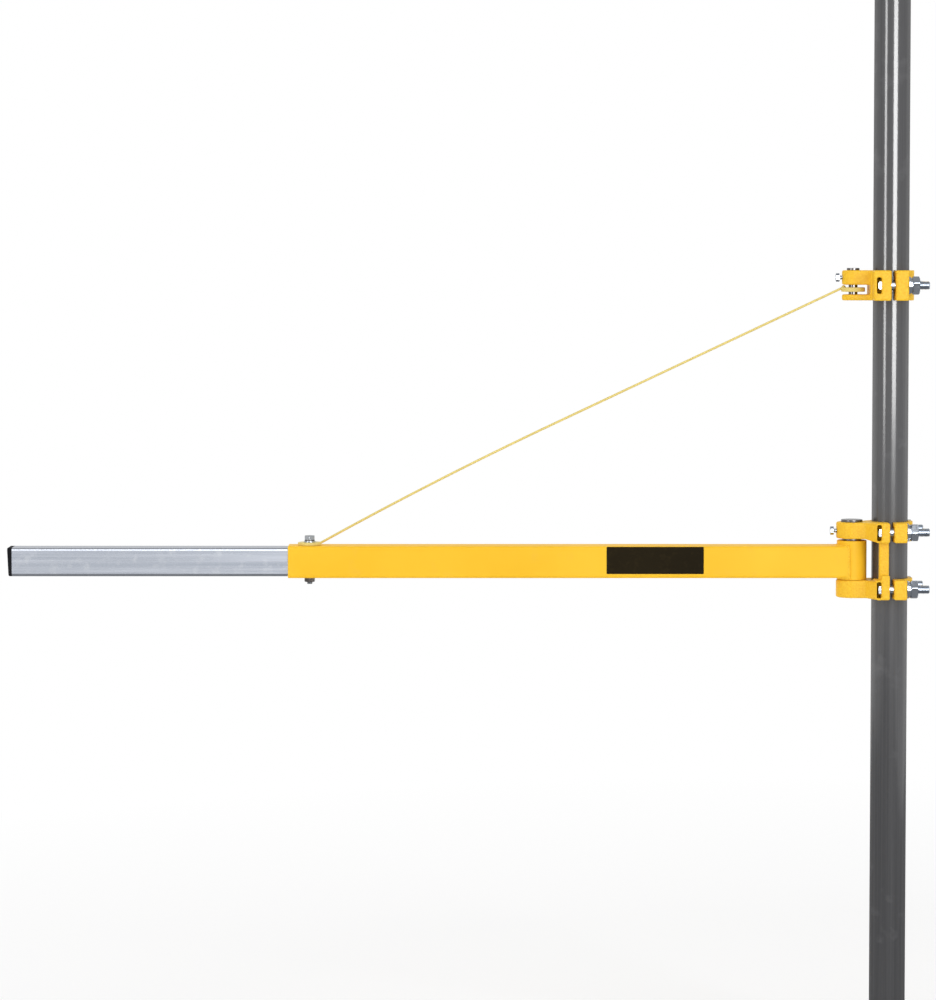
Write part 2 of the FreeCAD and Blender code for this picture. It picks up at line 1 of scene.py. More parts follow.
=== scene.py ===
import bpy
import json
import math
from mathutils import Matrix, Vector

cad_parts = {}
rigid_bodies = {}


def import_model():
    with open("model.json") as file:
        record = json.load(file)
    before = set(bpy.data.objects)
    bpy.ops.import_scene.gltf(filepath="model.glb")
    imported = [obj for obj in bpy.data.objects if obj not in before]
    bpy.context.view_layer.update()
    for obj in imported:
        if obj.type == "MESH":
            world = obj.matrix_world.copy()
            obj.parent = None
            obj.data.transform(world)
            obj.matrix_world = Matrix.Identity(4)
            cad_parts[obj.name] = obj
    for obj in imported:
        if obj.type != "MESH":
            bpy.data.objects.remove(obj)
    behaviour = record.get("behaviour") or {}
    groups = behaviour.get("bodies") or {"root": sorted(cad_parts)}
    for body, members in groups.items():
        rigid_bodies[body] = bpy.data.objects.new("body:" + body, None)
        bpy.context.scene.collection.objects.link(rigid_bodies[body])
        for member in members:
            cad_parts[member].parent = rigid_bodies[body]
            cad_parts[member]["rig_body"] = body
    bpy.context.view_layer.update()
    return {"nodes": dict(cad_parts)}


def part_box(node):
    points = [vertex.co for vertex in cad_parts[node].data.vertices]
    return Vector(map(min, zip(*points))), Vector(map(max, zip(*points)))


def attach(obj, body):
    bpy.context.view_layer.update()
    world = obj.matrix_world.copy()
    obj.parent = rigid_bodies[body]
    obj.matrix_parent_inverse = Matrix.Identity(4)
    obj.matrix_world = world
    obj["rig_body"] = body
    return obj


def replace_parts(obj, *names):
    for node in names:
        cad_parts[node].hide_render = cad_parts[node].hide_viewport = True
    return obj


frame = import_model()

# Sizes of the pieces, in metres
MM = 0.001
POLE_WALL = 3.2 * MM
TUBE_WALL = 2 * MM
ARM_CORNER = 4 * MM
EXTENSION_CORNER = 4 * MM
PLUG_FLANGE = 5.5 * MM
PLUG_GAP = 0.15 * MM
PLUG_LEAN = math.radians(2.7)
CLAMP_BOLT = {"radius": 6 * MM, "pitch": 1.75 * MM, "flats": 18 * MM, "head": 4.2 * MM}
CLAMP_BOLT_LENGTH = 65 * MM
CLAMP_BOLT_THREAD = 32 * MM
CLAMP_NUT_FLATS = 22 * MM
CLAMP_NUT_HEIGHT = 10 * MM
ARM_BOLT = {"radius": 4 * MM, "pitch": 1.25 * MM, "flats": 13 * MM, "head": 5.3 * MM}
ARM_BOLT_LENGTH = 60 * MM
ARM_BOLT_THREAD = 22 * MM
ARM_NUT_HEIGHT = 6.5 * MM
LOCK_SCREW = {"radius": 3 * MM, "pitch": 1 * MM, "flats": 10 * MM, "head": 4.8 * MM}
PIN_RADIUS = 11 * MM
PIN_HEAD_HEIGHT = 3.2 * MM
STAY_PIN_RADIUS = 6 * MM
STAY_PIN_HEAD_HEIGHT = 3 * MM
EYE_RADIUS = 16 * MM
EYE_THICKNESS = 4 * MM
FORK_EYE_THICKNESS = 6 * MM
STAY_RISE = 366 * MM
STAY_LIFT = 3 * MM
STAY_RADIUS = 1.6 * MM
STAY_STRAIGHT = 430 * MM
STAY_BOW = 6.3 * MM
PANEL_LENGTH = 130.5 * MM
PANEL_HEIGHT = 36.4 * MM
PANEL_RISE = 2.6 * MM
PANEL_FROM_PIVOT = 200.9 * MM
PANEL_CORNER = 1.2 * MM
PANEL_THICKNESS = 0.25 * MM

# The weld's drops, how far apart they sit, and where its runs lie on the arm
WELD_RADIUS = 2.9 * MM
WELD_STEP = 1.1 * WELD_RADIUS
WELD_PAST_TUBE = 1.4 * MM
WELD_INSIDE_SIDES = 2.4 * MM
WELD_ABOVE_BOTTOM = 0.5 * MM
WELD_INSIDE_LEVELS = 1.2 * MM

# Widths of broken edges
WASHER_EDGE = 0.25 * MM
LOCK_WASHER_EDGE = 0.2 * MM
POLE_EDGE = 0.4 * MM
PIN_EDGE = 0.5 * MM
SLEEVE_EDGE = 0.8 * MM
EYE_EDGE = 0.8 * MM
ARM_EDGE = 0.35 * MM
EXTENSION_EDGE = 0.3 * MM
PLUG_EDGE = 1.2 * MM

# Room in the bores, as shares of the radius that goes through, and in the drilled holes
SLEEVE_FIT = 1.005
CLOSE_FIT = 1.01
WASHER_FIT = 1.03
HOLE_ROOM = 0.5 * MM

# A hexagon's rounded corners and chamfer circle, as shares of its width across flats
HEX_CORNER = 0.04
HEX_FACE = 0.475

# A thread's ridge, depth and tip chamfer in pitches, and its crest and plain shank as shares of the radius
RIDGE_WIDTH = 0.94
THREAD_DEPTH = 0.613
TIP_CHAMFER = 0.7
THREAD_CREST = 0.985
PLAIN_SHANK = 0.98

# Shares of the plug's insert that is hollow, and of its flange that leans
PLUG_HOLLOW = 0.9
PLUG_LEANING = 0.4

# Degrees by which each clamp's front nut stands turned, and a back nut from its front one
NUT_TURNS = {"swivel_upper": 29, "swivel_lower": 15, "stay": 13}
BACK_NUT_TURN = 23
ARM_NUT_TURN = math.radians(-10)

# How far round a lock washer is wound, how it stands turned, and how that follows its nut's turn
SPLIT_RING_TURN = math.radians(352)
LOCK_TURN_START = 1.0
LOCK_TURN_RATE = 2.3

# How finely shapes are divided
ROUND_SIDES = 96
POLE_SIDES = 128
SHANK_SIDES = 48
STAY_SIDES = 20
STAY_ARC_STEPS = 36
THREAD_STEPS = 28
SPLIT_RING_STEPS = 72
DROP_SEGMENTS = 20
DROP_RINGS = 12
CORNER_SEGMENTS = 8

# The grain of sand castings, and how far shapes are run together
SAND_GRAIN = 2.5 * MM
SAND_LAYERS = 2
SMOOTHING_FACTOR = 0.5
CASTING_SKIN = {"voxel": 0.85 * MM, "smoothing": 8, "lumps": 0.35 * MM}
EYE_SKIN = {"voxel": 0.45 * MM, "smoothing": 6}
WELD_SKIN = {"voxel": 0.5 * MM, "smoothing": 3, "lumps": 0.3 * MM}

# Limits for choosing edges, faces and points
SHARP_ANGLE = math.radians(40)
SMOOTH_ANGLE = math.radians(32)
MERGE_DISTANCE = 0.002 * MM
SAME_LEVEL = 0.01 * MM
ALONG = 0.9

CHAMFER_SLOPE = math.radians(30)
DIRECTIONS = {"X": Vector((1, 0, 0)), "Y": Vector((0, 1, 0)), "Z": Vector((0, 0, 1))}
TURNS = {"X": (0, math.radians(90), 0), "Z": (0, 0, 0)}
CORNERS_UP = (0, 0, math.radians(90))
HEAD_TOWARDS_ARM = (0, math.radians(-90), 0)


# Handling of pieces

def only(piece):
    """Selects one piece and makes it active."""
    bpy.ops.object.select_all(action="DESELECT")
    piece.select_set(True)
    bpy.context.view_layer.objects.active = piece
    return piece


def named(name):
    """Names the active piece and puts its place into its mesh."""
    piece = bpy.context.object
    piece.name = name
    bpy.ops.object.transform_apply(location=True, rotation=True, scale=True)
    return piece


def open_with(piece, kind, wanted):
    """Opens a piece for editing with the wanted faces or edges selected."""
    only(piece)
    bpy.ops.object.mode_set(mode="EDIT")
    bpy.ops.mesh.select_mode(type=kind)
    bpy.ops.mesh.select_all(action="DESELECT")
    bpy.ops.object.mode_set(mode="OBJECT")
    for part in piece.data.polygons if kind == "FACE" else piece.data.edges:
        part.select = wanted(part)
    bpy.ops.object.mode_set(mode="EDIT")


def open_all(piece):
    only(piece)
    bpy.ops.object.mode_set(mode="EDIT")
    bpy.ops.mesh.select_all(action="SELECT")


def close():
    bpy.ops.object.mode_set(mode="OBJECT")


def shaped(piece, kind, **settings):
    """Gives a piece a modifier with these settings and applies it."""
    only(piece)
    modifier = piece.modifiers.new(kind, kind)
    for setting, value in settings.items():
        setattr(modifier, setting, value)
    bpy.ops.object.modifier_apply(modifier=kind)
    return piece


def carved(piece, tool, operation="DIFFERENCE"):
    """Cuts a piece with a tool, joins them or keeps what they share, and clears the tool away."""
    shaped(piece, "BOOLEAN", object=tool, operation=operation, solver="EXACT")
    bpy.data.objects.remove(tool)
    return piece


def softened(piece, width, segments=2):
    """Breaks the sharp edges of a piece."""
    limit = {"limit_method": "ANGLE", "angle_limit": SHARP_ANGLE}
    return shaped(piece, "BEVEL", width=width, segments=segments, **limit)


def merged(piece):
    """Joins a piece's doubled points and turns its faces outwards."""
    open_all(piece)
    bpy.ops.mesh.remove_doubles(threshold=MERGE_DISTANCE)
    bpy.ops.mesh.normals_make_consistent(inside=False)
    close()
    return piece


def joined(name, pieces):
    bpy.ops.object.select_all(action="DESELECT")
    for piece in pieces:
        piece.select_set(True)
    bpy.context.view_layer.objects.active = pieces[0]
    bpy.ops.object.join()
    pieces[0].name = name
    return pieces[0]


def finished(node):
    return f"finished_{node}"


def middle(node):
    low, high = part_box(node)
    return (low + high) / 2


def set_down(piece, node, place, turn=(0, 0, 0)):
    """Moves a piece modelled at the origin to its place, and names it for its node."""
    only(piece)
    piece.location = place
    piece.rotation_euler = turn
    return named(finished(node))


def copy_down(master, node, place, turn):
    """Sets a copy of a master down for a node."""
    only(master)
    bpy.ops.object.duplicate()
    return set_down(bpy.context.object, node, place, turn)


def dress(piece, material, node):
    """Gives a finished piece its finish, and lets it ride on the body of a node."""
    only(piece)
    bpy.ops.object.shade_smooth_by_angle(angle=SMOOTH_ANGLE)
    shaped(piece, "WEIGHTED_NORMAL", keep_sharp=True)
    piece.data.materials.clear()
    piece.data.materials.append(material)
    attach(piece, frame["nodes"][node]["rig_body"])
    return piece


def dress_node(piece, material, node):
    """Hands over a finished piece that stands for a node."""
    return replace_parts(dress(piece, material, node), node)


# Shapes that several pieces start from

def rod(name, radius, start, length, axis="Z", sides=ROUND_SIDES):
    bpy.ops.mesh.primitive_cylinder_add(
        vertices=sides,
        radius=radius,
        depth=length,
        location=Vector(start) + DIRECTIONS[axis] * length / 2,
        rotation=TURNS[axis],
    )
    return named(name)


def ring(name, radius, bore, start, thickness, axis="Z", edge=WASHER_EDGE):
    """A disc whose caps are inset and bridged into a bore, its rims softened."""
    piece = rod(name, radius, start, thickness, axis)
    open_with(piece, "FACE", lambda face: abs(face.normal.dot(DIRECTIONS[axis])) > ALONG)
    bpy.ops.mesh.inset(thickness=radius - bore, use_individual=True)
    bpy.ops.mesh.bridge_edge_loops()
    close()
    return softened(merged(piece), edge)


def cone(name, low_radius, high_radius, height):
    """A cone or a part of one, on Z from the origin up."""
    bpy.ops.mesh.primitive_cone_add(
        vertices=ROUND_SIDES,
        radius1=low_radius,
        radius2=high_radius,
        depth=height,
        location=(0, 0, height / 2),
    )
    return named(name)


def bevel_edges(piece, wanted, width, segments):
    """Bevels the wanted edges of a piece."""
    open_with(piece, "EDGE", wanted)
    bpy.ops.mesh.bevel(offset=width, segments=segments, affect="EDGES")
    close()
    return piece


def soften_along(piece, axis, width, segments):
    """Rounds the edges of a piece that run along an axis."""
    points = piece.data.vertices
    direction = DIRECTIONS[axis]

    def along_axis(edge):
        first, second = (points[index].co for index in edge.vertices)
        return abs((first - second).normalized().dot(direction)) > ALONG

    return bevel_edges(piece, along_axis, width, segments)


def soften_at(piece, axis, level, width, segments=2):
    """Breaks the edges of a piece that lie in one plane across an axis."""
    points = piece.data.vertices
    direction = DIRECTIONS[axis]

    def in_plane(edge):
        return all(abs(points[index].co.dot(direction) - level) < SAME_LEVEL for index in edge.vertices)

    return bevel_edges(piece, in_plane, width, segments)


def rounded_block(name, low, high, axis, corner):
    """A block between two opposite corners, with its edges along an axis rounded."""
    bpy.ops.mesh.primitive_cube_add(size=1, location=(low + high) / 2)
    bpy.context.object.scale = high - low
    return soften_along(named(name), axis, corner, CORNER_SEGMENTS)


def square_tube(name, low, high, corner):
    """A square tube along X, open at both ends."""
    piece = rounded_block(name, low, high, "X", corner)
    open_with(piece, "FACE", lambda face: abs(face.normal.x) > ALONG)
    bpy.ops.mesh.delete(type="FACE")
    close()
    return shaped(piece, "SOLIDIFY", thickness=TUBE_WALL, offset=-1, use_even_offset=True)


def sand_skin():
    """The lumpy skin of a sand casting."""
    texture = bpy.data.textures.new("sand_skin", "CLOUDS")
    texture.noise_scale = SAND_GRAIN
    texture.noise_depth = SAND_LAYERS
    return texture


SAND_SKIN = sand_skin()


def run_together(piece, voxel, smoothing, lumps=None):
    """Runs a piece's corners together, and makes its skin uneven where lumps are wanted."""
    shaped(piece, "REMESH", mode="VOXEL", voxel_size=voxel)
    shaped(piece, "SMOOTH", factor=SMOOTHING_FACTOR, iterations=smoothing)
    if lumps:
        shaped(piece, "DISPLACE", texture=SAND_SKIN, texture_coords="LOCAL", strength=lumps)
    return piece


# Fasteners, modelled once on Z with their seat at the origin

def chamfered_hexagon(name, flats, height, both_ends=False):
    """A hexagon on Z from the origin up, with chamfered corners at its top or at both ends."""
    piece = rod(name, flats / math.sqrt(3), (0, 0, 0), height, sides=6)
    soften_along(piece, "Z", flats * HEX_CORNER, segments=3)
    face_radius = flats * HEX_FACE
    wide_radius = face_radius + height / math.tan(CHAMFER_SLOPE)
    carved(piece, cone("top_chamfer", wide_radius, face_radius, height), "INTERSECT")
    if both_ends:
        carved(piece, cone("foot_chamfer", face_radius, wide_radius, height), "INTERSECT")
    return piece


def thread_ridge(radius, pitch, tip, length):
    """A right-hand helical ridge of triangular section, from below the tip up over the thread's length."""
    reach = RIDGE_WIDTH * pitch / math.sqrt(3)
    bpy.ops.mesh.primitive_circle_add(
        vertices=3,
        radius=reach,
        location=(radius - reach, 0, tip - pitch),
        rotation=(math.radians(-90), math.radians(-90), 0),
    )
    piece = named("thread_ridge")
    turns = math.ceil(length / pitch) + 1
    steps = {"steps": THREAD_STEPS, "render_steps": THREAD_STEPS}
    shaped(piece, "SCREW", screw_offset=pitch, iterations=turns, **steps)
    open_all(piece)
    bpy.ops.mesh.fill_holes(sides=3)
    close()
    return merged(piece)


def threaded_shank(radius, pitch, length, threaded, above):
    """A shank from a little above the seat down, with a thread over its lower part."""
    root = radius - THREAD_DEPTH * pitch
    piece = rod("threaded_shank", root, (0, 0, -length), length + above, sides=SHANK_SIDES)
    carved(piece, thread_ridge(radius, pitch, -length, threaded), "UNION")
    envelope = rod("envelope", radius * THREAD_CREST, (0, 0, -length), length + 2 * above)
    soften_at(envelope, "Z", -length, TIP_CHAMFER * pitch, segments=1)
    carved(piece, envelope, "INTERSECT")
    if threaded < length:
        start = (0, 0, threaded - length)
        plain = rod("plain_shank", radius * PLAIN_SHANK, start, length - threaded + above)
        carved(piece, plain, "UNION")
    return piece


def hex_bolt(name, radius, pitch, flats, head, length, threaded):
    piece = chamfered_hexagon(name, flats, head)
    return carved(piece, threaded_shank(radius, pitch, length, threaded, head / 2), "UNION")


def hex_nut(name, radius, flats, height):
    piece = chamfered_hexagon(name, flats, height, both_ends=True)
    return carved(piece, rod("nut_bore", radius * CLOSE_FIT, (0, 0, -height), 3 * height))


def split_ring(name, radius, bore, thickness):
    """A spring lock washer: a square section wound not quite once round Z, its ends apart."""
    bpy.ops.mesh.primitive_plane_add(
        size=1,
        location=((radius + bore) / 2, 0, thickness / 2),
        rotation=(math.radians(90), 0, 0),
    )
    bpy.context.object.scale = (radius - bore, thickness, 1)
    piece = named(name)
    open_all(piece)
    bpy.ops.mesh.delete(type="ONLY_FACE")
    close()
    steps = {"steps": SPLIT_RING_STEPS, "render_steps": SPLIT_RING_STEPS}
    shaped(piece, "SCREW", angle=SPLIT_RING_TURN, screw_offset=0, **steps)
    open_all(piece)
    bpy.ops.mesh.fill_holes(sides=4)
    close()
    return softened(merged(piece), LOCK_WASHER_EDGE)


def laid_along_x(piece):
    """Lays a fastener modelled on Z so that its top faces the arm and its corners stand up and down."""
    only(piece)
    for turn in (CORNERS_UP, HEAD_TOWARDS_ARM):
        piece.rotation_euler = turn
        named(piece.name)
    return piece


# Finishes: effects that several of them share

# Parts of a noise's range that are stretched to run from 0 to 1
SOFT_NOISE = (0.3, 0.7)
LINE_NOISE = (0.25, 0.75)

# Where in the noise marks begin when their amount is 0, and where they are full
MARKS_BEGIN = 0.85
MARKS_FULL = 0.9

# How far drawn lines are stretched along X and along Z
STRETCH_ALONG_X = (0.012, 1, 1)
STRETCH_ALONG_Z = (1, 1, 0.006)


def add(tree, kind, **settings):
    node = tree.nodes.new(kind)
    for setting, value in settings.items():
        setattr(node, setting, value)
    return node


def set_inputs(node, values):
    for name, value in values.items():
        node.inputs[name].default_value = value
    return node


def new_group(name, inputs, outputs):
    """A shader group with float sockets; inputs are names with their usual values."""
    tree = bpy.data.node_groups.new(name, "ShaderNodeTree")
    for socket, value in inputs.items():
        made = tree.interface.new_socket(socket, in_out="INPUT", socket_type="NodeSocketFloat")
        made.default_value = value
    for socket in outputs:
        tree.interface.new_socket(socket, in_out="OUTPUT", socket_type="NodeSocketFloat")
    return tree, add(tree, "NodeGroupInput"), add(tree, "NodeGroupOutput")


def object_noise(tree, detail, stretch=(1, 1, 1)):
    """Noise on the piece's own coordinates, stretched along an axis where the mapping's scale is small."""
    place = add(tree, "ShaderNodeTexCoord")
    mapping = set_inputs(add(tree, "ShaderNodeMapping"), {"Scale": stretch})
    noise = set_inputs(add(tree, "ShaderNodeTexNoise"), {"Detail": detail})
    tree.links.new(place.outputs["Object"], mapping.inputs["Vector"])
    tree.links.new(mapping.outputs["Vector"], noise.inputs["Vector"])
    return noise


def ranged(tree, value, low, high, to_low=0.0, to_high=1.0):
    """Maps a value between low and high to another range, clamped; low and high may be sockets."""
    node = set_inputs(add(tree, "ShaderNodeMapRange"), {"To Min": to_low, "To Max": to_high})
    tree.links.new(value, node.inputs["Value"])
    for name, bound in (("From Min", low), ("From Max", high)):
        if isinstance(bound, float):
            node.inputs[name].default_value = bound
        else:
            tree.links.new(bound, node.inputs[name])
    return node.outputs["Result"]


def paint_skin_group():
    """Sprayed paint: the fine peel of its surface and a slow drift of its tone."""
    tree, given, made = new_group("paint_skin", {"Peel Scale": 600.0}, ("Peel", "Tone"))
    peel = object_noise(tree, detail=2.0)
    tree.links.new(given.outputs["Peel Scale"], peel.inputs["Scale"])
    drift = set_inputs(object_noise(tree, detail=3.0), {"Scale": 9.0})
    tree.links.new(peel.outputs["Fac"], made.inputs["Peel"])
    tree.links.new(ranged(tree, drift.outputs["Fac"], *SOFT_NOISE), made.inputs["Tone"])
    return tree


def handling_marks_group():
    """Sparse rubbed and scuffed patches, hardly any where Amount is 0."""
    tree, given, made = new_group("handling_marks", {"Scale": 60.0, "Amount": 0.4}, ("Mask",))
    patches = object_noise(tree, detail=6.0)
    tree.links.new(given.outputs["Scale"], patches.inputs["Scale"])
    start = add(tree, "ShaderNodeMath", operation="SUBTRACT")
    start.inputs[0].default_value = MARKS_BEGIN
    tree.links.new(given.outputs["Amount"], start.inputs[1])
    mask = ranged(tree, patches.outputs["Fac"], start.outputs[0], MARKS_FULL)
    tree.links.new(mask, made.inputs["Mask"])
    return tree


def drawn_grain_group(name, stretch):
    """Fine drawing lines along a tube, broken up by slower bands."""
    tree, given, made = new_group(name, {"Line Scale": 400.0}, ("Lines", "Bands"))
    lines = object_noise(tree, detail=4.0, stretch=stretch)
    tree.links.new(given.outputs["Line Scale"], lines.inputs["Scale"])
    bands = set_inputs(object_noise(tree, detail=2.0, stretch=stretch), {"Scale": 130.0})
    tree.links.new(ranged(tree, lines.outputs["Fac"], *LINE_NOISE), made.inputs["Lines"])
    tree.links.new(ranged(tree, bands.outputs["Fac"], *SOFT_NOISE), made.inputs["Bands"])
    return tree


PAINT_SKIN = paint_skin_group()
HANDLING_MARKS = handling_marks_group()
GRAIN_ALONG_X = drawn_grain_group("drawn_grain_along_x", STRETCH_ALONG_X)
GRAIN_ALONG_Z = drawn_grain_group("drawn_grain_along_z", STRETCH_ALONG_Z)

# Sockets of the Mix node when it mixes colours
MIX_FACTOR, MIX_FIRST, MIX_SECOND, MIX_RESULT = 0, 6, 7, 2


def new_finish(name, constants):
    """A material whose constant values sit on its shader's own sockets."""
    material = bpy.data.materials.new(name)
    material.use_nodes = True
    tree = material.node_tree
    shader = set_inputs(tree.nodes["Principled BSDF"], constants)
    return material, tree, shader


def use_group(tree, group, **values):
    node = add(tree, "ShaderNodeGroup", node_tree=group)
    return set_inputs(node, {name.replace("_", " "): value for name, value in values.items()})


def mixed(tree, factor, first, second):
    """A colour between two, each a colour or a socket."""
    node = add(tree, "ShaderNodeMix", data_type="RGBA")
    tree.links.new(factor, node.inputs[MIX_FACTOR])
    for number, colour in ((MIX_FIRST, first), (MIX_SECOND, second)):
        if isinstance(colour, tuple):
            node.inputs[number].default_value = (*colour, 1)
        else:
            tree.links.new(colour, node.inputs[number])
    return node.outputs[MIX_RESULT]


def bump(tree, shader, height, strength, distance):
    node = set_inputs(add(tree, "ShaderNodeBump"), {"Strength": strength, "Distance": distance})
    tree.links.new(height, node.inputs["Height"])
    tree.links.new(node.outputs["Normal"], shader.inputs["Normal"])


def dulled(tree, shader, mask, smooth, dull):
    """Lets a mask run the roughness of a finish from smooth to dull."""
    tree.links.new(ranged(tree, mask, 0.0, 1.0, smooth, dull), shader.inputs["Roughness"])


# Colours of the finishes
YELLOW_DEEP = (0.92, 0.52, 0.02)
YELLOW_BRIGHT = (0.97, 0.57, 0.03)
YELLOW_RUBBED = (0.9, 0.52, 0.04)
CAST_DEEP = (0.84, 0.38, 0.01)
CAST_BRIGHT = (1.0, 0.71, 0.06)
ROD_DEEP = (0.74, 0.59, 0.18)
ROD_BRIGHT = (0.8, 0.65, 0.22)
ROD_RUBBED = (0.72, 0.56, 0.17)
POLE_DEEP = (0.045, 0.045, 0.048)
POLE_BRIGHT = (0.065, 0.065, 0.069)
POLE_RUBBED = (0.11, 0.11, 0.115)
ZINC_DEEP = (0.56, 0.59, 0.66)
ZINC_BRIGHT = (0.7, 0.735, 0.81)
ZINC_STREAK = (0.5, 0.54, 0.615)
ZINC_SCUFF = (0.72, 0.75, 0.8)
PLASTIC_BLACK = (0.009, 0.009, 0.0105)
VINYL_BLACK = (0.013, 0.009, 0.003)

# How much duller enamel and plastic get, and how much paler plastic drifts and rubs
ENAMEL_DULLING = 0.2
PLASTIC_DULLING = 0.15
PLASTIC_DRIFT = 1.35
PLASTIC_RUB = 2.2

# How far the pole turns away where its gloss begins to fade and where it is gone
GLOSS_FADES = 0.45
GLOSS_GONE = 0.8


def enamel(name, deep, bright, rubbed, peel_scale, peel_depth, roughness, tone="Tone"):
    """Sprayed enamel whose tone drifts or follows its peel, with rubbed patches that are duller."""
    material, tree, shader = new_finish(name, {"Specular IOR Level": 0.12})
    skin = use_group(tree, PAINT_SKIN, Peel_Scale=peel_scale)
    marks = use_group(tree, HANDLING_MARKS, Scale=45.0, Amount=0.27)
    paint = mixed(tree, skin.outputs[tone], deep, bright)
    colour = mixed(tree, marks.outputs["Mask"], paint, rubbed)
    tree.links.new(colour, shader.inputs["Base Color"])
    dulled(tree, shader, marks.outputs["Mask"], roughness, roughness + ENAMEL_DULLING)
    bump(tree, shader, skin.outputs["Peel"], strength=0.35, distance=peel_depth)
    return material


def grey_pole_paint():
    """Dark grey paint over drawn tube, with faint lines along it and a gloss that fades at its rims."""
    constants = {"Coat Roughness": 0.13, "Coat IOR": 1.6, "Specular IOR Level": 0.15}
    material, tree, shader = new_finish("grey_pole_paint", constants)
    turned_away = add(tree, "ShaderNodeLayerWeight").outputs["Facing"]
    gloss = ranged(tree, turned_away, GLOSS_FADES, GLOSS_GONE, to_low=1.0, to_high=0.0)
    tree.links.new(gloss, shader.inputs["Coat Weight"])
    grain = use_group(tree, GRAIN_ALONG_Z, Line_Scale=420.0)
    marks = use_group(tree, HANDLING_MARKS, Scale=30.0, Amount=0.25)
    lines = mixed(tree, grain.outputs["Lines"], POLE_DEEP, POLE_BRIGHT)
    colour = mixed(tree, marks.outputs["Mask"], lines, POLE_RUBBED)
    tree.links.new(colour, shader.inputs["Base Color"])
    dulled(tree, shader, grain.outputs["Bands"], smooth=0.3, dull=0.42)
    bump(tree, shader, grain.outputs["Lines"], strength=0.15, distance=0.05 * MM)
    return material


def galvanised_tube():
    """Zinc-plated drawn tube: bluish, with lengthwise lines and scuffs from sliding."""
    material, tree, shader = new_finish("galvanised_tube", {"Metallic": 1.0})
    grain = use_group(tree, GRAIN_ALONG_X, Line_Scale=520.0)
    marks = use_group(tree, HANDLING_MARKS, Scale=85.0, Amount=0.32)
    lines = mixed(tree, grain.outputs["Lines"], ZINC_DEEP, ZINC_BRIGHT)
    streaks = mixed(tree, grain.outputs["Bands"], ZINC_STREAK, lines)
    colour = mixed(tree, marks.outputs["Mask"], streaks, ZINC_SCUFF)
    tree.links.new(colour, shader.inputs["Base Color"])
    dulled(tree, shader, grain.outputs["Bands"], smooth=0.22, dull=0.32)
    bump(tree, shader, grain.outputs["Lines"], strength=0.25, distance=0.06 * MM)
    return material


def plated_steel(name, dark, light, smooth, dull):
    """Zinc-plated or bare steel, turned or rolled, with marks that are duller."""
    material, tree, shader = new_finish(name, {"Metallic": 1.0})
    marks = use_group(tree, HANDLING_MARKS, Scale=260.0, Amount=0.42)
    skin = use_group(tree, PAINT_SKIN, Peel_Scale=1500.0)
    colour = mixed(tree, skin.outputs["Peel"], dark, light)
    tree.links.new(colour, shader.inputs["Base Color"])
    dulled(tree, shader, marks.outputs["Mask"], smooth, dull)
    bump(tree, shader, skin.outputs["Peel"], strength=0.1, distance=0.04 * MM)
    return material


def black_moulding(name, colour, roughness, grain_scale, grain_depth):
    """Black plastic with a moulded or printed grain and a few paler rubs."""
    material, tree, shader = new_finish(name, {"Specular IOR Level": 0.04})
    skin = use_group(tree, PAINT_SKIN, Peel_Scale=grain_scale)
    marks = use_group(tree, HANDLING_MARKS, Scale=120.0, Amount=0.3)
    tint = mixed(tree, skin.outputs["Tone"], colour, tuple(PLASTIC_DRIFT * value for value in colour))
    worn = mixed(tree, marks.outputs["Mask"], tint, tuple(PLASTIC_RUB * value for value in colour))
    tree.links.new(worn, shader.inputs["Base Color"])
    dull = ranged(tree, skin.outputs["Peel"], *SOFT_NOISE, roughness, roughness + PLASTIC_DULLING)
    tree.links.new(dull, shader.inputs["Roughness"])
    bump(tree, shader, skin.outputs["Peel"], strength=0.4, distance=grain_depth)
    return material


TUBE_ENAMEL = enamel(
    "tube_enamel", YELLOW_DEEP, YELLOW_BRIGHT, YELLOW_RUBBED,
    peel_scale=700.0, peel_depth=0.05 * MM, roughness=0.4,
)
CAST_ENAMEL = enamel(
    "cast_enamel", CAST_DEEP, CAST_BRIGHT, YELLOW_RUBBED,
    peel_scale=480.0, peel_depth=0.5 * MM, roughness=0.42, tone="Peel",
)
ROD_ENAMEL = enamel(
    "rod_enamel", ROD_DEEP, ROD_BRIGHT, ROD_RUBBED,
    peel_scale=900.0, peel_depth=0.03 * MM, roughness=0.4,
)
POLE_PAINT = grey_pole_paint()
GALVANISED = galvanised_tube()
PLATED = plated_steel(
    "plated_fastener", dark=(0.42, 0.47, 0.54), light=(0.6, 0.64, 0.7), smooth=0.16, dull=0.36
)
DULL_PLATE = plated_steel(
    "dull_plate", dark=(0.3, 0.32, 0.34), light=(0.46, 0.48, 0.5), smooth=0.26, dull=0.45
)
# Dark steel for the pins, the thrust washer and the arm's lock washer: partly painted shade, darkened for
# the shade in the gaps where they sit
DARK_STEEL = plated_steel(
    "dark_steel", dark=(0.1, 0.095, 0.095), light=(0.2, 0.19, 0.19), smooth=0.2, dull=0.36
)
# Dark steel for the nut under the arm: its dark colour is painted shade, standing in for the shadow the
# arm casts on it
PAINTED_SHADE_STEEL = plated_steel(
    "painted_shade_steel", dark=(0.04, 0.034, 0.03), light=(0.13, 0.12, 0.115), smooth=0.22, dull=0.4
)
BLACK_PLASTIC = black_moulding(
    "black_plastic", PLASTIC_BLACK, roughness=0.5, grain_scale=900.0, grain_depth=0.05 * MM
)
BLACK_VINYL = black_moulding(
    "black_vinyl", VINYL_BLACK, roughness=0.45, grain_scale=1600.0, grain_depth=0.01 * MM
)


# The pole, its castings and the pins

